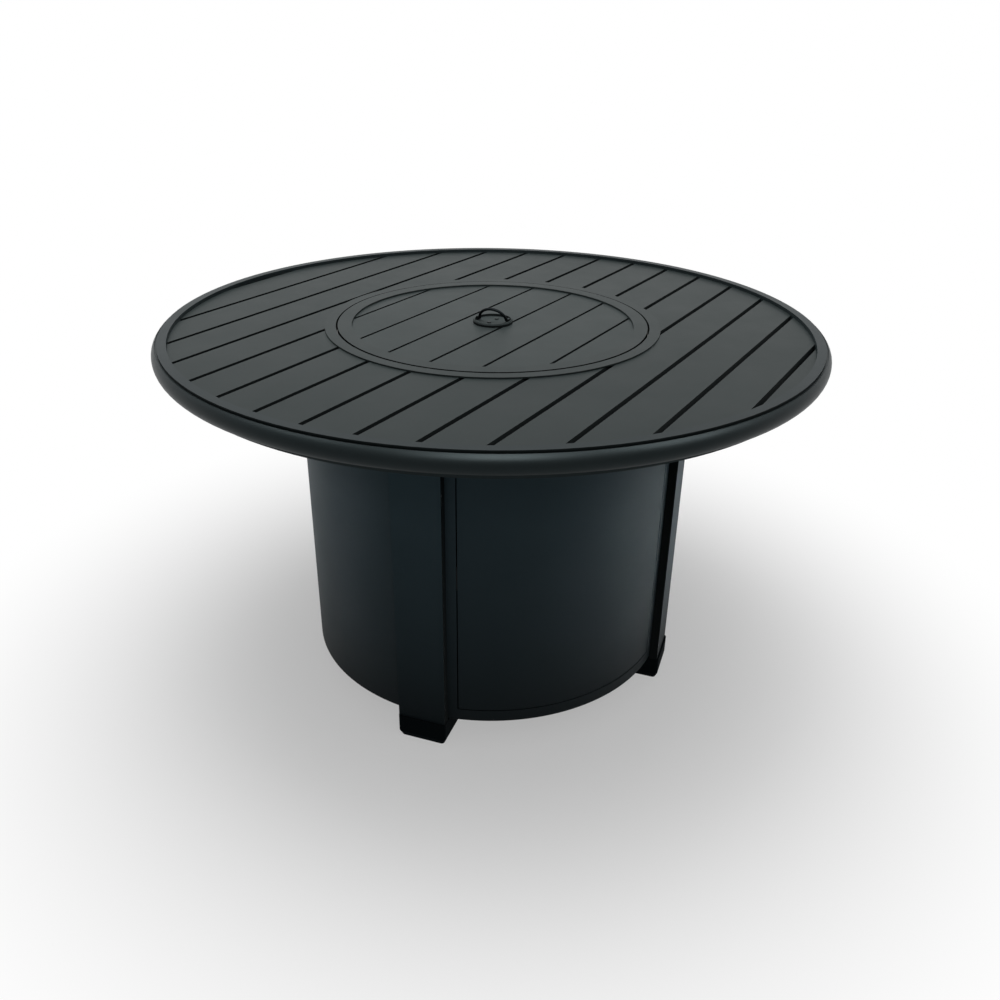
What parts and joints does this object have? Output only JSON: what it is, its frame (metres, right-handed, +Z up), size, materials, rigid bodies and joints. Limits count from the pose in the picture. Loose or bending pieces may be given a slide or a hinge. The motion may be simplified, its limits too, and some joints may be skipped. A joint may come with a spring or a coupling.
{
  "type": "fire pit table",
  "caption": "Round slat-top gas fire pit table on a drum base with strap legs, a lift-off slatted burner lid with a folding bail handle, and a hinged door for the tank",
  "frame": {"origin": "on the floor, under the centre of the round table top", "axes": "+Z up; the access door faces -Y; the legs stand on the diagonals between X and Y"},
  "size_m": [1.0666, 1.0666, 0.6388],
  "materials": {
    "deck_coat": "fine satin powder coat, warm charcoal",
    "base_coat": "fine satin powder coat, dark charcoal",
    "frame_coat": "matt black powder coat",
    "foot_moulding": "fine grained black moulding",
    "burner_steel": "brushed stainless steel",
    "handle_metal": "dark satin coat with worn edges",
    "fastener_steel": "plated steel",
    "gas_brass": "machined brass",
    "tube_aluminium": "plain drawn tube",
    "control_plastic": "black grained plastic",
    "pad_rubber": "black rubber",
    "electrode_ceramic": "white glazed insulator",
    "magnet_plastic": "dark plastic case"
  },
  "bodies": {
    "frame": {"base_floor": "frame_coat", "base_top_ring": "frame_coat", "burner_nipple": "gas_brass", "burner_pan": "burner_steel", "burner_ring": "burner_steel", "control_plate": "frame_coat", "deck_bars": "frame_coat", "deck_slat_01": "deck_coat", "deck_slat_02": "deck_coat", "deck_slat_03": "deck_coat", "deck_slat_04": "deck_coat", "deck_slat_05": "deck_coat", "deck_slat_06": "deck_coat", "deck_slat_07": "deck_coat", "deck_slat_08": "deck_coat", "deck_slat_09": "deck_coat", "deck_slat_10": "deck_coat", "deck_slat_11": "deck_coat", "deck_slat_12": "deck_coat", "deck_slat_13": "deck_coat", "deck_slat_14": "deck_coat", "door_frame": "base_coat", "door_magnet": "magnet_plastic", "foot_back_left": "foot_moulding", "foot_back_right": "foot_moulding", "foot_front_left": "foot_moulding", "foot_front_right": "foot_moulding", "frame_bolts": "fastener_steel", "gas_inlet": "gas_brass", "gas_tube": "tube_aluminium", "hinge_pins": "fastener_steel", "igniter_body": "fastener_steel", "leg_back_left": "base_coat", "leg_back_right": "base_coat", "leg_front_left": "base_coat", "leg_front_right": "base_coat", "opening_collar": "deck_coat", "panel_back": "base_coat", "panel_left": "base_coat", "panel_right": "base_coat", "spark_electrode": "electrode_ceramic", "top_rim": "deck_coat", "valve_body": "gas_brass"},
    "lid": {"handle_dish": "handle_metal", "handle_screws": "fastener_steel", "lid_bars": "frame_coat", "lid_border": "deck_coat", "lid_pads": "pad_rubber", "lid_slat_1": "deck_coat", "lid_slat_2": "deck_coat", "lid_slat_3": "deck_coat", "lid_slat_4": "deck_coat", "lid_slat_5": "deck_coat", "lid_slat_6": "deck_coat", "lid_slat_7": "deck_coat"},
    "bail": {"handle_bail": "handle_metal"},
    "door": {"access_door": "base_coat"},
    "knob": {"control_knob": "control_plastic", "valve_stem": "gas_brass"},
    "button": {"igniter_button": "control_plastic"}
  },
  "joints": [
    {"name": "lid_lift", "type": "slide", "parent": "frame", "child": "lid", "axis": [0, 0, 1], "range_m": [0, 0.12]},
    {"name": "bail_fold", "type": "hinge", "parent": "lid", "child": "bail", "pos_m": [0, 0, 0.617], "axis": [0.7314, -0.682, 0], "range_deg": [-120, 60]},
    {"name": "door_swing", "type": "hinge", "parent": "frame", "child": "door", "pos_m": [0.16556, -0.26043, 0.3], "axis": [0, 0, 1], "range_deg": [0, 100]},
    {"name": "knob_turn", "type": "hinge", "parent": "frame", "child": "knob", "pos_m": [0, -0.28, 0.508], "axis": [0, -1, 0], "range_deg": [0, 180]},
    {"name": "igniter_push", "type": "slide", "parent": "frame", "child": "button", "axis": [0, 1, 0], "range_m": [0, 0.004], "stiffness_N_per_m": 600}
  ]
}
